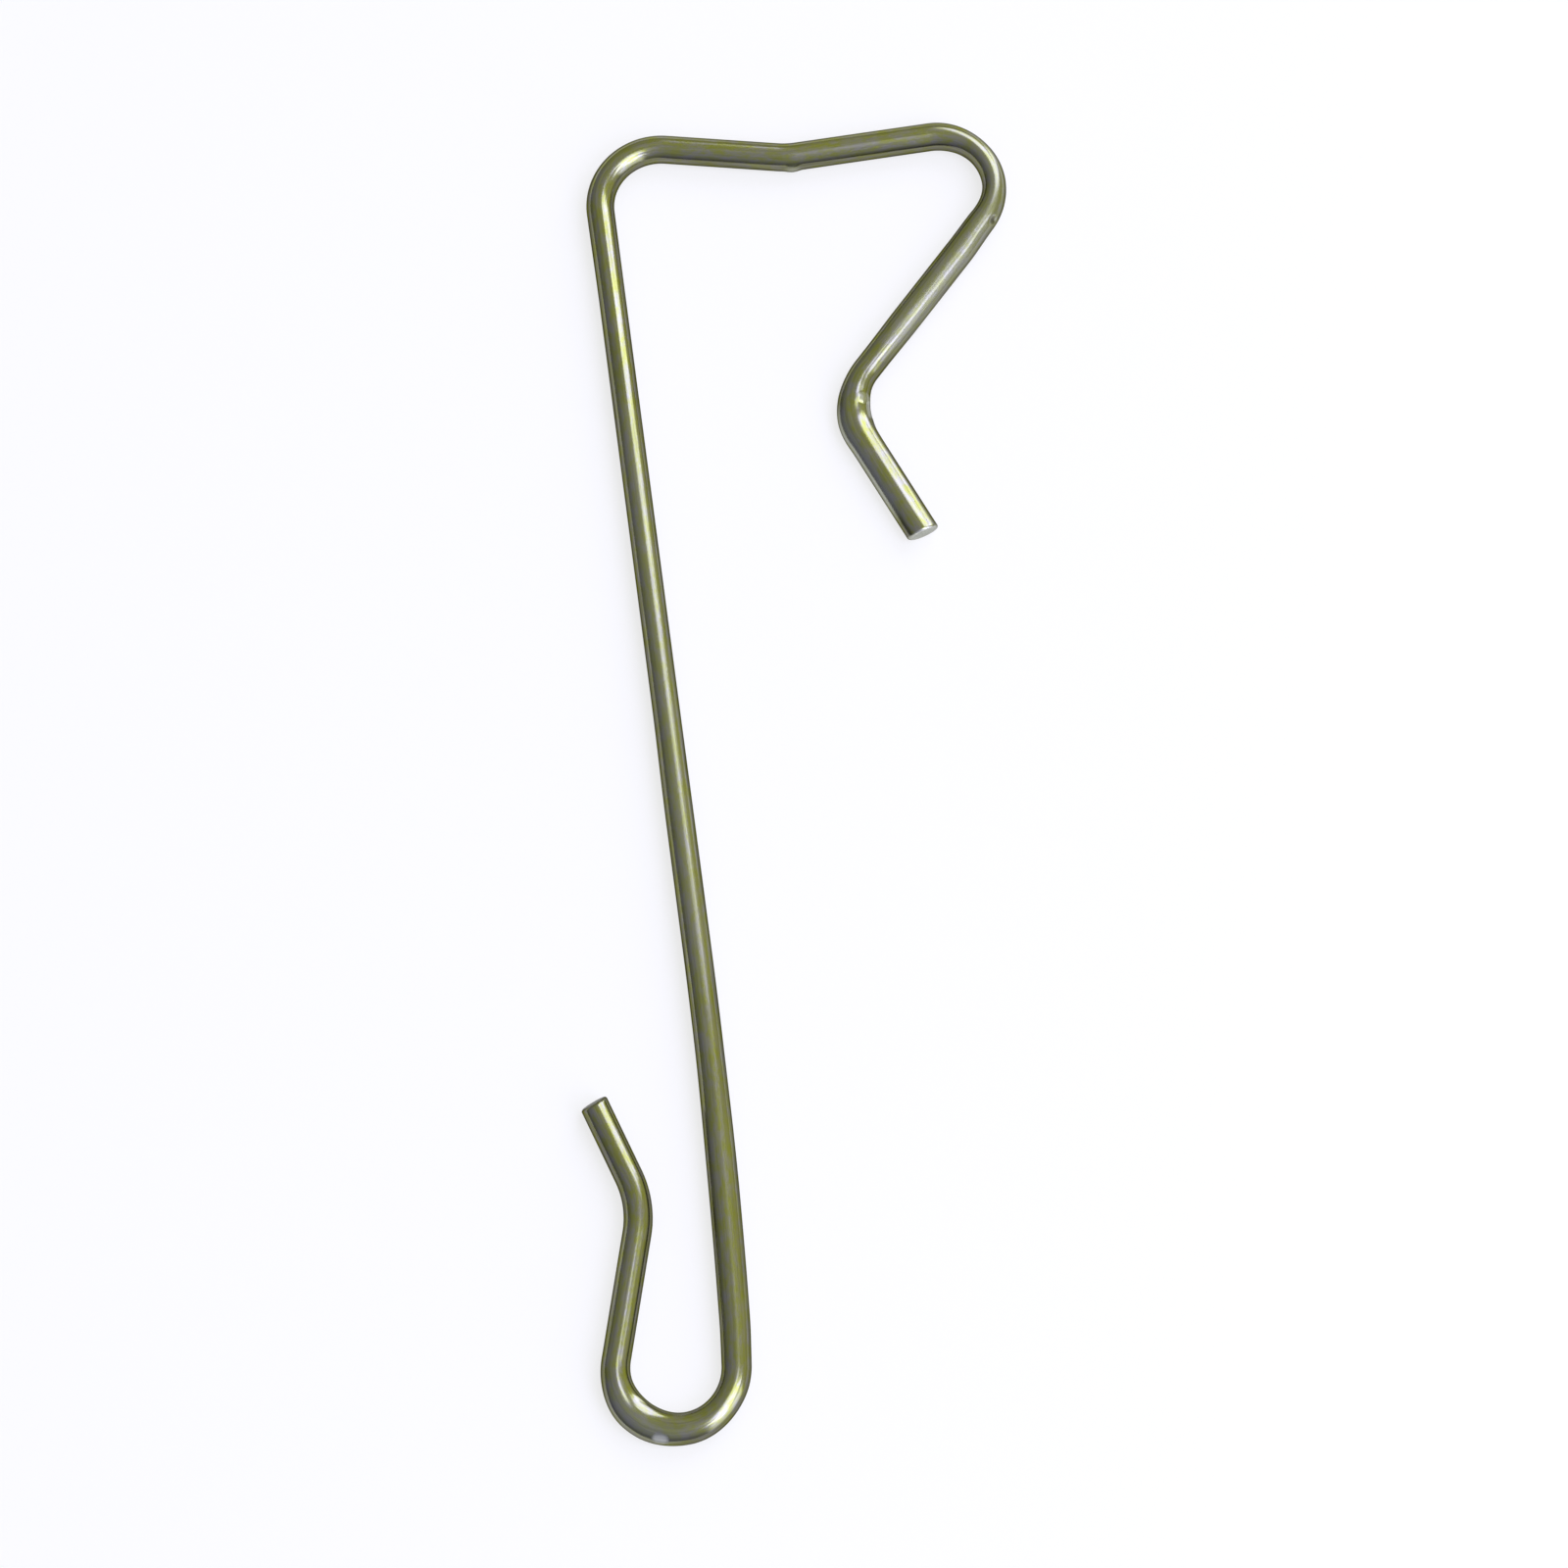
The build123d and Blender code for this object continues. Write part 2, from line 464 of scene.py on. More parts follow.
def sweep(tree, given):
    """Sweep the section along the line. Gives the surface and what its points keep."""
    line = add_node(tree, "GeometryNodeMeshToCurve", given["Geometry"])
    spline = add_node(tree, "GeometryNodeSplineParameter").outputs
    total = add_node(tree, "GeometryNodeSplineLength").outputs["Length"]

    # 0 where the rounded rim begins, 1 at the end of the wire, and 0 on all the rest of it.
    to_far_end = add_node(tree, MATH, total, spline["Length"], operation="SUBTRACT")
    to_end = add_node(tree, MATH, spline["Length"], to_far_end, operation="MINIMUM")
    end_share = add_node(tree, MATH, to_end, given["End rounding"], operation="DIVIDE")
    into_rim = add_node(tree, MATH, 1.0, end_share, operation="SUBTRACT")
    rim = add_node(tree, MATH, into_rim, 0.0, operation="MAXIMUM")

    # The rim follows a quarter of a circle, and its rings shrink with it.
    rim_squared = add_node(tree, MATH, rim, rim, operation="MULTIPLY")
    rim_rest = add_node(tree, MATH, 1.0, rim_squared, operation="SUBTRACT")
    rim_height = add_node(tree, MATH, rim_rest, operation="SQRT")
    rim_fall = add_node(tree, MATH, 1.0, rim_height, operation="SUBTRACT")
    rim_drop = add_node(tree, MATH, rim_fall, given["End rounding"], operation="MULTIPLY")
    share_lost = add_node(tree, MATH, rim_drop, given["Wire radius"], operation="DIVIDE")
    ring_scale = add_node(tree, MATH, 1.0, share_lost, operation="SUBTRACT")

    keeper = add_node(tree, "GeometryNodeCaptureAttribute", line)
    kept_values = {
        "Middle": ("VECTOR", add_node(tree, "GeometryNodeInputPosition").outputs[0]),
        "Along": ("VECTOR", add_node(tree, "GeometryNodeInputTangent").outputs[0]),
        "Length": ("FLOAT", spline["Length"]),
        "Total": ("FLOAT", total),
        "Rim": ("FLOAT", rim.outputs[0]),
    }
    for name, (kind, value) in kept_values.items():
        keeper.capture_items.new(kind, name)
        tree.links.new(value, keeper.inputs[name])
    section = add_node(tree, "GeometryNodeCurvePrimitiveCircle", sockets={
        "Resolution": given["Segments"], "Radius": given["Wire radius"],
    })
    surface = add_node(tree, "GeometryNodeCurveToMesh", sockets={
        "Curve": keeper, "Profile Curve": section, "Scale": ring_scale, "Fill Caps": True,
    })
    return surface, keeper.outputs


print("wire tree takes", len(wire_tree.interface.items_tree) - 1, "inputs")

# %% [markdown]
# ## A point's place on the straightened wire
# Drawn lines, film and wear follow the wire and not the room. So every point keeps its place
# on the wire as it was before bending: how far to the left of the middle line, how far above
# it, and how far along. The place is stored by name before anything is pressed, and both the
# marks and the finish read it. The directions round the wire aren't stored: they are fields,
# worked out afresh wherever a node uses them.

# %% Straightened place
def straighten(tree, surface, kept):
    """Store each point's straightened place. Gives it with the directions round the wire."""
    position = add_node(tree, "GeometryNodeInputPosition")
    offset = add_node(tree, VECTOR_MATH, position, kept["Middle"], operation="SUBTRACT")
    left = add_node(tree, VECTOR_MATH, (0, 0, 1), kept["Along"], operation="CROSS_PRODUCT")
    to_left = add_node(tree, VECTOR_MATH, offset, left, operation="DOT_PRODUCT").outputs["Value"]
    upward = add_node(tree, "ShaderNodeSeparateXYZ", offset).outputs["Z"]
    place = add_node(tree, "ShaderNodeCombineXYZ", to_left, upward, kept["Length"])
    shape = add_node(
        tree, "GeometryNodeStoreNamedAttribute", surface, data_type="FLOAT_VECTOR",
        sockets={"Name": "straightened", "Value": place},
    )
    around = {
        "outward": add_node(tree, VECTOR_MATH, offset, operation="NORMALIZE"),
        "left": left, "to left": to_left, "upward": upward,
        "straightened": add_node(
            tree, "GeometryNodeInputNamedAttribute", "straightened", data_type="FLOAT_VECTOR",
        ),
    }
    return shape, around


print("straightened place: to the left, upwards and along the wire, in metres")

# %% [markdown]
# ## Pressing the wire
# The two groups are chained, first the spread sections and then the marks. The tree grows by
# one group node for each row of the tables, and along the way it adds up how much wear, scrape
# and dirt the marks leave on each point.

# %% Press
def spread_sections(tree, given, shape, around):
    """Spread or thin the section wherever the table of spreads says."""
    for spread in spreads.values():
        shape = add_node(tree, "GeometryNodeGroup", node_tree=spread_tree, sockets={
            "Geometry": shape, "Straightened place": around["straightened"],
            "Leftward": around["left"], "Wire radius": given["Wire radius"],
            "Distance along": distance_along(spread["on"], spread["share"]),
            "Length": spread["length"] * mm, "Ease": spread["ease"] * mm,
            "Widening": spread["widening"], "Lowering": spread["lowering"],
            "Sideways": spread["sideways"] * mm,
        })
    return shape


def press_marks(tree, given, shape, around):
    """Press all the marks, and add up what they leave on the surface."""
    traces = {"wear": 0.0, "scrape": 0.0, "dirt_and_shade": 0.0}
    for mark in marks.values():
        pressed = add_node(tree, "GeometryNodeGroup", node_tree=mark_tree, sockets={
            "Geometry": shape, "Straightened place": around["straightened"],
            "Outward": around["outward"], "Wire radius": given["Wire radius"],
            "Distance along": distance_along(mark["on"], mark["share"]),
            "Angle round": radians(mark["angle"]), "Height": mark["height"] * mm,
            "Length": mark["length"] * mm, "Width": mark["width"] * mm,
            "Squareness": mark["squareness"], "Softness": mark["softness"],
        })
        shape, shown = pressed.outputs["Geometry"], pressed.outputs["Mark"]
        traces = {
            trace: add_node(tree, MATH, shown, mark[trace], so_far, operation="MULTIPLY_ADD")
            for trace, so_far in traces.items()
        }
    return shape, traces


print("group nodes in the chain:", len(spreads) + len(marks))

# %% [markdown]
# ## Shearing the ends
# Shears never cut quite square. The last rings of each end slide a little along the wire, most
# at the end itself and less further in, which turns the cut face to one side and makes it lean.

# %% Shear
shear_reach = 4 * wire_radius


def shear_ends(tree, given, kept, shape, around, from_tip):
    """Slide the rings near both ends. A point slides by its place to the left and upwards."""
    for end, from_end, inward in (("Lip", kept["Length"], 1.0), ("Tip", from_tip, -1.0)):
        reach_share = add_node(tree, MATH, from_end, given["Shear reach"], operation="DIVIDE")
        near_end = add_node(tree, MATH, 1.0, reach_share, operation="SUBTRACT")
        fade = add_node(tree, MATH, near_end, 0.0, operation="MAXIMUM")
        side_slope = add_node(tree, MATH, given[end + " cut angle"], operation="TANGENT")
        rise_slope = add_node(tree, MATH, given[end + " lean angle"], operation="TANGENT")
        side_slide = add_node(tree, MATH, side_slope, around["to left"], operation="MULTIPLY")
        slide = add_node(
            tree, MATH, rise_slope, around["upward"], side_slide, operation="MULTIPLY_ADD",
        )
        faded = add_node(tree, MATH, slide, fade, operation="MULTIPLY")
        step = add_node(tree, MATH, faded, inward, operation="MULTIPLY")
        shift = add_node(tree, VECTOR_MATH, kept["Along"], sockets={"Scale": step}, operation="SCALE")
        shape = add_node(tree, "GeometryNodeSetPosition", shape, sockets={"Offset": shift})
    return shape


print("shear reaches in by, mm:", round(shear_reach / mm, 1))

# %% [markdown]
# ## The whole tree
# The steps are joined up here. What the marks left is stored on the points as wear, darkening and
# fresh metal, for the finish to read. Part of the darkening is painted shade. The tip's cut shows
# fresh metal too, and the lip's cut face is darkened. The tree ends in real faces with the finish
# on them.

# %% Wire tree
def fill_wire_tree(tree):
    """Sweep the wire, press it, shear its ends and store what the finish needs."""
    given = add_node(tree, "NodeGroupInput").outputs
    surface, kept = sweep(tree, given)
    shape, around = straighten(tree, surface, kept)
    shape = spread_sections(tree, given, shape, around)
    shape, traces = press_marks(tree, given, shape, around)
    from_tip = add_node(tree, MATH, kept["Total"], kept["Length"], operation="SUBTRACT")
    shape = shear_ends(tree, given, kept, shape, around, from_tip)

    tip_half = add_node(tree, MATH, from_tip, kept["Length"], operation="LESS_THAN")
    tip_rim = add_node(tree, MATH, kept["Rim"], tip_half, operation="MULTIPLY")
    lip_rim = add_node(tree, MATH, kept["Rim"], tip_rim, operation="SUBTRACT")
    # The lip's cut face is darkened, and the marks add their darkening, part of which is painted
    # shade.
    stored = {
        "wear": traces["wear"],
        "dirt_and_shade": add_node(
            tree, MATH, lip_rim, given["Lip darkening"], traces["dirt_and_shade"], operation="MULTIPLY_ADD",
        ),
        "fresh": add_node(tree, MATH, tip_rim, traces["scrape"], operation="MAXIMUM"),
    }
    for name, value in stored.items():
        shape = add_node(
            tree, "GeometryNodeStoreNamedAttribute", shape, data_type="FLOAT",
            sockets={"Name": name, "Value": value},
        )
    smooth = add_node(tree, "GeometryNodeSetShadeSmooth", shape)
    real = add_node(tree, "GeometryNodeRealizeInstances", smooth)
    finished = add_node(tree, "GeometryNodeSetMaterial", real, sockets={"Material": given["Finish"]})
    add_node(tree, "NodeGroupOutput", finished)


fill_wire_tree(wire_tree)
print("wire tree:", len(wire_tree.nodes), "nodes")

# %% [markdown]
# ## The finish: drawn stainless wire
# The wire is stainless steel drawn cold through a row of dies. The dies leave fine lines along
# it, and the soap and the heat of drawing leave a thin olive film. To the eye that is a dark,
# warm metal with a soft sheen, whose lights stretch along the wire. Typical values are metallic
# 1 and a roughness from 0.1, for bright drawn wire, to 0.35 for dull. This one is bright.
# Colours are written as sRGB hex values, and one function turns them into the linear colours
# that a shader works in.

# %% Colour helper
def linear(hex_color):
    """An sRGB hex colour as the linear colour that the shader wants."""
    parts = [int(hex_color[start:start + 2], 16) / 255 for start in (1, 3, 5)]
    lit = [part / 12.92 if part <= 0.04045 else ((part + 0.055) / 1.055) ** 2.4 for part in parts]
    return (*lit, 1.0)


film_olive = linear("#a3a75a")
print("olive film, linear:", [round(part, 3) for part in film_olive])

# %% [markdown]
# ## Film and bare steel
# The patterns read the straightened place of each point, in millimetres, so they bend with the
# wire. The film is olive and grey in patches about half a millimetre wide, and longer along the
# wire, since they were drawn out with it. Where a mark has rubbed it off there is plain steel,
# and where it has cut the wire there is brighter, fresh steel.

# %% Film and steel
film_grey = linear("#a5a496")
steel = linear("#c8cbbf")
fresh_steel = linear("#dddfd4")
film_patches_per_mm = 2.0
film_squeeze_along = 0.4
olive_up_to, grey_from = 0.38, 0.62  # levels of the patches' pattern, which runs from 0 to 1
MIX_A, MIX_B, MIX_RESULT = 6, 7, 2  # a Mix node's colour sockets, whose names aren't unique


def film_over_steel(tree, in_mm, wear, fresh):
    """Colour of the metal under any grime and painted shade."""
    stretch = add_node(tree, "ShaderNodeMapping", in_mm, sockets={
        "Scale": (1, 1, film_squeeze_along),
    })
    patches = add_node(tree, "ShaderNodeTexNoise", stretch, sockets={
        "Scale": film_patches_per_mm, "Detail": 4.0, "Roughness": 0.65,
    })
    grey_share = add_node(tree, "ShaderNodeMapRange", patches, sockets={
        "From Min": olive_up_to, "From Max": grey_from,
    })
    film = add_node(tree, "ShaderNodeMix", grey_share, data_type="RGBA", sockets={
        MIX_A: film_olive, MIX_B: film_grey,
    })
    rubbed = add_node(tree, "ShaderNodeMix", wear, data_type="RGBA", sockets={
        MIX_A: film.outputs[MIX_RESULT], MIX_B: steel,
    })
    bare = add_node(tree, "ShaderNodeMix", fresh, data_type="RGBA", sockets={
        MIX_A: rubbed.outputs[MIX_RESULT], MIX_B: fresh_steel,
    })
    return bare.outputs[MIX_RESULT]


print("film patches, mm:", 1 / film_patches_per_mm, "wide")

# %% [markdown]
# ## Grime and painted shade
# Grime gathers in the die lines. The flanks and the underside also get painted shade, a
# darkening that stands in for the shade of the floor they mirror. It begins a little below the
# top and is full from there down, except where a mark has bared the metal.

# %% Grime and painted shade
# One dark colour serves both the grime and the painted shade.
grime_and_shade_colour = linear("#4a4842")
clean_line, foul_line = 0.35, 0.7  # levels of the die lines' pattern
line_grime = 0.3
painted_shade_edge, painted_shade_full = 1.05, 0.8  # millimetres above the middle of the wire
painted_shade_strength = 0.5


def grime_and_shade_share(tree, in_mm, die_lines, bared, dirt_and_shade):
    """How much grime and painted shade cover each place, from 0 to 1."""
    in_lines = add_node(tree, "ShaderNodeMapRange", die_lines, sockets={
        "From Min": clean_line, "From Max": foul_line, "To Min": 0.0, "To Max": line_grime,
    })
    # Painted shade: the lower flanks are darkened, standing in for the shade of the floor they
    # mirror.
    height = add_node(tree, "ShaderNodeSeparateXYZ", in_mm).outputs["Y"]
    flank_painted_shade = add_node(tree, "ShaderNodeMapRange", height, sockets={
        "From Min": painted_shade_edge, "From Max": painted_shade_full, "To Min": 0.0, "To Max": painted_shade_strength,
    })
    unrubbed = add_node(tree, MATH, 1.0, bared, operation="SUBTRACT")
    painted_shade = add_node(tree, MATH, flank_painted_shade, unrubbed, operation="MULTIPLY")
    grime_and_painted_shade = add_node(tree, MATH, in_lines, painted_shade, operation="ADD")
    return add_node(tree, MATH, grime_and_painted_shade, dirt_and_shade, operation="MAXIMUM", use_clamp=True)


print("soap is full from", painted_shade_full, "mm above the middle of the wire downwards")

# %% [markdown]
# ## Putting the finish together
# Real die lines are about a hundredth of a millimetre apart, which is too fine to show, so they
# are drawn twenty times as coarse. They are long along the wire and short across it, which is
# what a Mapping with a small scale along Z does. They lift the surface a very little, make it
# a little rougher and hold grime. Rubbed and cut places are rougher than drawn ones. Seen at a
# grazing angle the film is greyer, which is what the metal's edge tint is for.

# %% Drawn stainless wire
grazing_film = linear("#8c8c80")
die_lines_per_mm = 5.0
die_squeeze_along = 0.03
smooth_line, rough_line = 0.3, 0.7  # levels of the die lines' pattern
smoothest, roughest = 0.13, 0.22  # roughness at those levels
worn_roughness = 0.08
fresh_roughness = 0.3
die_line_depth = 0.01 * mm
die_line_strength = 0.25


def drawn_stainless_wire():
    """The finish of the whole hook, worn and cut places included."""
    material = bpy.data.materials.new("drawn_stainless_wire")
    material.use_nodes = True
    tree = material.node_tree
    tree.nodes.clear()
    place = add_node(tree, "ShaderNodeAttribute", attribute_name="straightened").outputs["Vector"]
    in_mm = add_node(tree, VECTOR_MATH, place, sockets={"Scale": 1 / mm}, operation="SCALE")
    fresh = add_node(tree, "ShaderNodeAttribute", attribute_name="fresh").outputs["Fac"]
    wear = add_node(tree, "ShaderNodeAttribute", attribute_name="wear").outputs["Fac"]
    dirt_and_shade = add_node(tree, "ShaderNodeAttribute", attribute_name="dirt_and_shade").outputs["Fac"]
    bared = add_node(tree, MATH, fresh, wear, operation="MAXIMUM", use_clamp=True)

    stretch = add_node(tree, "ShaderNodeMapping", in_mm, sockets={
        "Scale": (1, 1, die_squeeze_along),
    })
    die_lines = add_node(tree, "ShaderNodeTexNoise", stretch, sockets={
        "Scale": die_lines_per_mm, "Detail": 3.0, "Roughness": 0.6,
    })
    # Grime and painted shade are laid over the metal's colour.
    color = add_node(
        tree, "ShaderNodeMix", grime_and_shade_share(tree, in_mm, die_lines, bared, dirt_and_shade), data_type="RGBA",
        sockets={MIX_A: film_over_steel(tree, in_mm, wear, fresh), MIX_B: grime_and_shade_colour},
    )
    line_roughness = add_node(tree, "ShaderNodeMapRange", die_lines, sockets={
        "From Min": smooth_line, "From Max": rough_line, "To Min": smoothest, "To Max": roughest,
    })
    worn = add_node(tree, MATH, wear, worn_roughness, line_roughness, operation="MULTIPLY_ADD")
    roughness = add_node(tree, MATH, fresh, fresh_roughness, worn, operation="MULTIPLY_ADD")
    relief = add_node(tree, "ShaderNodeBump", sockets={
        "Strength": die_line_strength, "Distance": die_line_depth, "Height": die_lines,
    })
    shader = add_node(tree, "ShaderNodeBsdfPrincipled", sockets={
        "Base Color": color.outputs[MIX_RESULT], "Metallic": 1.0, "Roughness": roughness,
        "Normal": relief, "Specular Tint": grazing_film,
    })
    add_node(tree, "ShaderNodeOutputMaterial", shader)
    return material


wire_finish = drawn_stainless_wire()
print("finish:", wire_finish.name, "with", len(wire_finish.node_tree.nodes), "nodes")

# %% [markdown]
# ## The line to sweep
# The stations become a chain of edges. Each end gets a few closer stations of its own, which
# stand where the rings of the rounded rim should be.

# %% Wire line
end_rounding = 0.25 * mm
end_steps = 6
clear_of_rim = 1.3 * end_rounding


def with_rounded_end(stations):
    """The stations again, with those nearest the first replaced by the rings of a rounded rim."""
    start = stations[0]
    along = (stations[1] - start).normalized()
    depths = [end_rounding * (1 - cos(pi / 2 * step / end_steps)) for step in range(end_steps + 1)]
    further = [station for station in stations if (station - start).length > clear_of_rim]
    return [start + along * depth for depth in depths] + further


line = with_rounded_end(stations)
line = with_rounded_end(line[::-1])[::-1]
line_mesh = bpy.data.meshes.new("wire_line")
line_mesh.from_pydata(line, [(step, step + 1) for step in range(len(line) - 1)], [])
line_object = bpy.data.objects.new("wire_line", line_mesh)
bpy.context.scene.collection.objects.link(line_object)
print("line:", len(line), "points")

# %% [markdown]
# ## Making the wire
# A modifier runs the tree on the line. Its inputs are set by the sockets' identifiers, because
# that is how a modifier stores them. The evaluated result becomes a plain mesh, the line goes,
# and only then is the frame told of the wire.

# %% Wire piece
sizes = {
    "Wire radius": wire_radius, "Segments": 64, "End rounding": end_rounding,
    "Lip cut angle": radians(-7), "Lip lean angle": radians(19), "Tip cut angle": radians(-7),
    "Tip lean angle": radians(-2), "Shear reach": shear_reach, "Lip darkening": 0.85,
    "Finish": wire_finish,
}
sweeper = line_object.modifiers.new("sweep", "NODES")
sweeper.node_group = wire_tree
for socket in wire_tree.interface.items_tree:
    if socket.in_out == "INPUT" and socket.name in sizes:
        sweeper[socket.identifier] = sizes[socket.name]

depsgraph = bpy.context.evaluated_depsgraph_get()
swept = line_object.evaluated_get(depsgraph)
wire_mesh = bpy.data.meshes.new_from_object(swept, depsgraph=depsgraph)
wire_mesh.name = "hook_wire"
hook_wire = bpy.data.objects.new("hook_wire", wire_mesh)
bpy.context.scene.collection.objects.link(hook_wire)
line_object.modifiers.clear()
bpy.data.objects.remove(line_object)
wire_mesh.calc_loop_triangles()
print("wire:", len(wire_mesh.vertices), "points,", len(wire_mesh.loop_triangles), "triangles")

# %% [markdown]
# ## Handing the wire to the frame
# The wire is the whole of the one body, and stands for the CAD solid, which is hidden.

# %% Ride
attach(hook_wire, "root")
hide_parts("slate_hook")
print("riding on root:", hook_wire.name)

# %% [markdown]
# ## The floor
# The hook lies flat on a sheet of white paper, wide enough to run out of sight. Paper is matt,
# so its shader has no gloss. A white background should stay white without more light on the
# hook. So to the camera, and to a surface that mirrors it, the paper shows three quarters of
# its white as a glow of its own. The last quarter is real light, which keeps the hook's shadow.

# %% Floor
floor_size = 5.0  # metres
own_white = 0.75
full_white = (1.0, 1.0, 1.0, 1.0)


def matt_white_paper():
    """Paper that partly glows for rays from the camera and from what mirrors or lets through."""
    material = bpy.data.materials.new("matt_white_paper")
    material.use_nodes = True
    tree = material.node_tree
    tree.nodes.clear()
    ray = add_node(tree, "ShaderNodeLightPath").outputs
    seen = add_node(tree, MATH, ray["Is Camera Ray"], ray["Is Glossy Ray"], operation="MAXIMUM")
    shown = add_node(tree, MATH, seen, ray["Is Transmission Ray"], operation="MAXIMUM")
    share = add_node(tree, MATH, shown, own_white, operation="MULTIPLY")
    paper = add_node(tree, "ShaderNodeBsdfDiffuse", linear("#fdfdfd"))
    glow = add_node(tree, "ShaderNodeEmission", sockets={"Color": full_white, "Strength": 1.0})
    mixed = add_node(tree, "ShaderNodeMixShader", share, paper, glow)
    add_node(tree, "ShaderNodeOutputMaterial", mixed)
    return material


floor_mesh = bpy.data.meshes.new("floor")
half = floor_size / 2
floor_mesh.from_pydata(
    [(-half, -half, 0), (half, -half, 0), (half, half, 0), (-half, half, 0)], [], [(0, 1, 2, 3)],
)
floor_mesh.materials.append(matt_white_paper())
floor = bpy.data.objects.new("floor", floor_mesh)
bpy.context.scene.collection.objects.link(floor)
floor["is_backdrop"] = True
print("floor, m:", floor_size, "square")

# %% [markdown]
# ## Studio light
# Metal shows what is round it, so the light is laid out as things for the wire to mirror. Soft
# panels to the right of the hook make the long lights: three pass from nearly overhead down to
# the lower right, and two stand at the upper right. All but the overhead one stand close, so
# the ends of the hook see them from different sides, and a light swells and fades along the
# shank. A panel is placed by its direction and distance, by how wide and high it looks from the
# hook, and by its radiance, where 1 is white paper. Their light is bluish, as from a window.

# %% Panels
hook_middle = (cad_low + cad_high) / 2
daylight = (0.98, 0.99, 1.5)  # red, green and blue
panels = {  # angles in degrees, azimuth from +X towards +Y, distance in metres
    "key_panel": {
        "azimuth": -35.9, "from_zenith": 37.8, "distance": 0.76,
        "look_width": 37.5, "look_height": 25.0, "roll": 22.7, "radiance": 2.9,
    },
    "overhead_panel": {
        "azimuth": -23.1, "from_zenith": 17.0, "distance": 3.0,
        "look_width": 29.0, "look_height": 15.0, "roll": 30.5, "radiance": 2.1,
    },
    "low_key_panel": {
        "azimuth": -44.8, "from_zenith": 72.8, "distance": 0.44,
        "look_width": 44.3, "look_height": 49.0, "roll": -8.4, "radiance": 1.5,
    },
    "window_panel": {
        "azimuth": 55.7, "from_zenith": 48.8, "distance": 0.95,
        "look_width": 28.0, "look_height": 41.5, "roll": 33.4, "radiance": 2.15,
    },
    "low_window_panel": {
        "azimuth": 40.0, "from_zenith": 72.2, "distance": 0.52,
        "look_width": 46.3, "look_height": 12.0, "roll": -68.6, "radiance": 2.3,
    },
}


def soft_panel(name, azimuth, from_zenith, distance, look_width, look_height, roll, radiance):
    """A rectangular panel that faces the hook. Gives its share of the light that white needs."""
    across, down, turn = radians(azimuth), radians(from_zenith), radians(roll)
    direction = Vector((sin(down) * cos(across), sin(down) * sin(across), cos(down)))
    level = Vector((-sin(across), cos(across), 0))
    upright = direction.cross(level)
    lamp = bpy.data.lights.new(name, "AREA")
    lamp.shape = "RECTANGLE"
    lamp.size = 2 * distance * tan(radians(look_width / 2))
    lamp.size_y = 2 * distance * tan(radians(look_height / 2))
    lamp.energy = radiance * pi * lamp.size * lamp.size_y
    lamp.color = daylight
    panel = bpy.data.objects.new(name, lamp)
    bpy.context.scene.collection.objects.link(panel)
    panel.matrix_world = Matrix.Translation(hook_middle + distance * direction) @ Matrix((
        cos(turn) * level + sin(turn) * upright, cos(turn) * upright - sin(turn) * level, direction,
    )).transposed().to_4x4()
    return radiance * cos(down) * radians(look_width) * radians(look_height) / pi


panel_light = 0.0
for name, layout in panels.items():
    lit = soft_panel(name, **layout)
    panel_light += lit
    print(name, "lights the floor with", round(lit, 2), "of what white needs")

# %% [markdown]
# ## The room
# Behind the panels stands a plain room, which the rest of the wire mirrors. It gets brighter
# evenly from its dark side to the side of the panels. Its walls are cooler towards the lower
# left and warmer opposite, so a light and the dark beside it differ in tint, as they do on real
# metal. The last line adds up what the floor gets. White should look white, so the sum is
# close to 1. From the room a level floor gets the room's middle level, and two thirds of what
# the room gains between there and straight overhead.

# %% Room
bright_side = (0.747, 0.185, 0.638)
room_dark, room_bright = 0.07, 0.58
cool_side = (-0.79, -0.61, 0.0)
cool_walls = (0.98, 1.0, 1.42, 1.0)  # red, green, blue and alpha
warm_walls = (1.0, 1.0, 0.45, 1.0)
floor_share_of_gain = 2 / 3


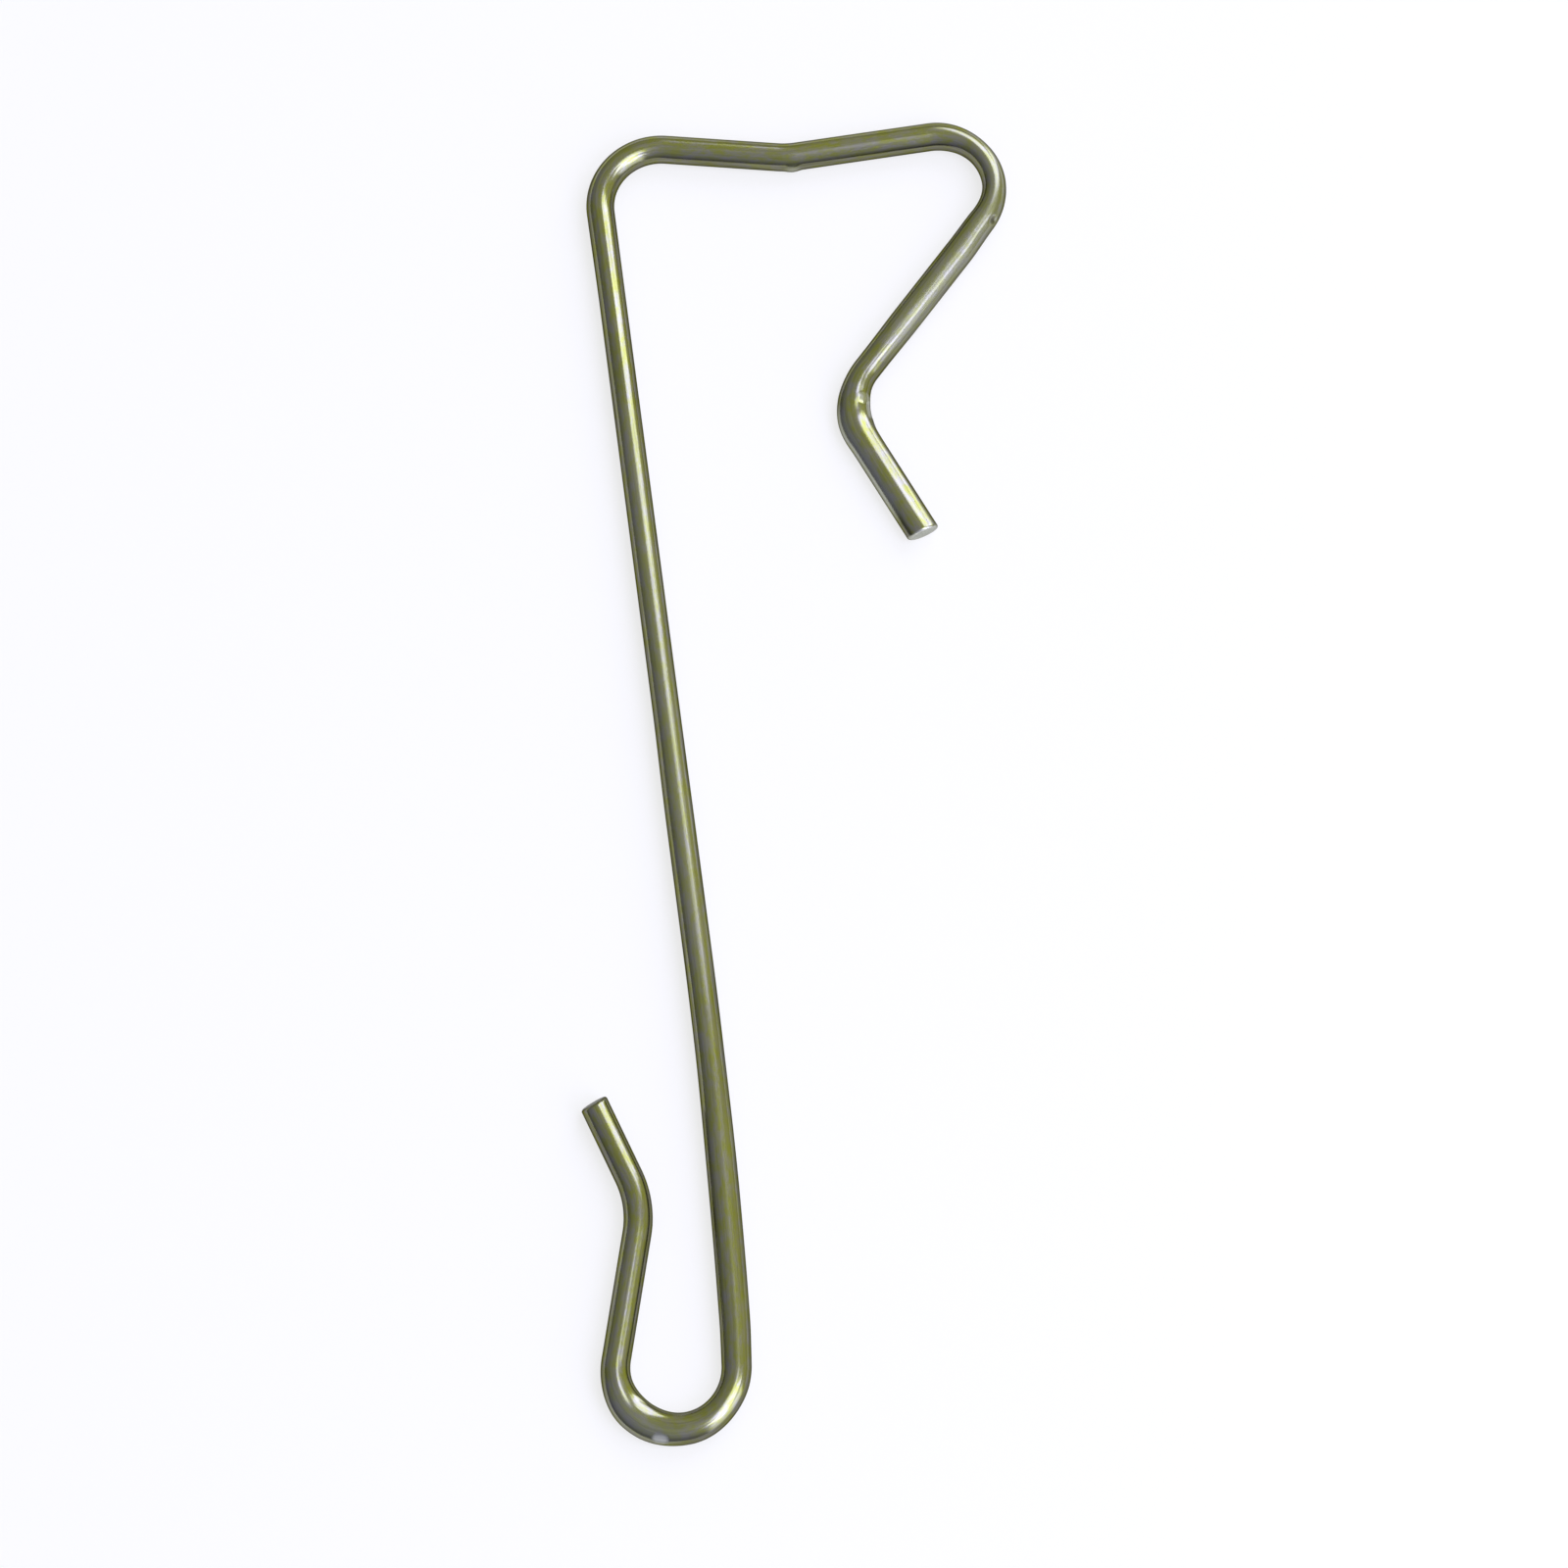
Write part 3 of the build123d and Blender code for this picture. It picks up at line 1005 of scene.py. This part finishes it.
def studio_room():
    """A world whose brightness and tint change evenly with direction."""
    room = bpy.data.worlds.new("studio_room")
    room.use_nodes = True
    tree = room.node_tree
    tree.nodes.clear()
    direction = add_node(tree, "ShaderNodeTexCoord").outputs["Generated"]
    toward_light = add_node(tree, VECTOR_MATH, direction, bright_side, operation="DOT_PRODUCT")
    brightness = add_node(tree, "ShaderNodeMapRange", toward_light.outputs["Value"], sockets={
        "From Min": -1.0, "From Max": 1.0, "To Min": room_dark, "To Max": room_bright,
    })
    toward_cool = add_node(tree, VECTOR_MATH, direction, cool_side, operation="DOT_PRODUCT")
    coolness = add_node(tree, "ShaderNodeMapRange", toward_cool.outputs["Value"], sockets={
        "From Min": -1.0, "From Max": 1.0,
    })
    tint = add_node(tree, "ShaderNodeMix", coolness, data_type="RGBA", sockets={
        MIX_A: warm_walls, MIX_B: cool_walls,
    })
    walls = add_node(tree, "ShaderNodeBackground", tint.outputs[MIX_RESULT], brightness)
    add_node(tree, "ShaderNodeOutputWorld", walls)
    return room


bpy.context.scene.world = studio_room()
room_middle = (room_dark + room_bright) / 2
overhead_gain = (room_bright - room_middle) * bright_side[2]
room_light = room_middle + overhead_gain * floor_share_of_gain
print("floor gets", round(panel_light + room_light, 2), "of what white needs")

# %% [markdown]
# ## Camera
# A long lens looks down on the hook, tilted a little so that it looks from beyond the bowl, and
# turned so that the shank leans in the view. The lens is long because a hook seen from near
# by would swell towards its near end.

# %% Camera
camera_distance = 0.7  # metres
camera_lens = 171.3  # millimetres
camera_tilt = radians(17.5)
view_turn = radians(-7.367)
look_offset = Vector((-2.645 * mm, -2.598 * mm, 0))

view_up = Vector((sin(-view_turn), cos(view_turn), 0))
toward_camera = -sin(camera_tilt) * view_up + Vector((0, 0, cos(camera_tilt)))
camera_up = cos(camera_tilt) * view_up + Vector((0, 0, sin(camera_tilt)))
camera_data = bpy.data.cameras.new("camera")
camera_data.lens = camera_lens
camera_data.clip_end = 4 * floor_size
camera = bpy.data.objects.new("camera", camera_data)
bpy.context.scene.collection.objects.link(camera)
look_at = hook_middle + look_offset
camera.matrix_world = Matrix.Translation(look_at + camera_distance * toward_camera) @ Matrix((
    camera_up.cross(toward_camera), camera_up, toward_camera,
)).transposed().to_4x4()
bpy.context.scene.camera = camera
bpy.context.scene.view_settings.view_transform = "Standard"
print("camera at, mm:", [round(v / mm, 1) for v in camera.matrix_world.translation])

# %% [markdown]
# ## The size of what is seen
# The box of the wire that is seen is printed here, to stand beside the CAD box printed at the
# start. The wire that is seen has to keep the CAD model's size to a fraction of a millimetre.

# %% Size
low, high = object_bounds()
print("visual box, mm:", [round(side / mm, 2) for side in high - low])
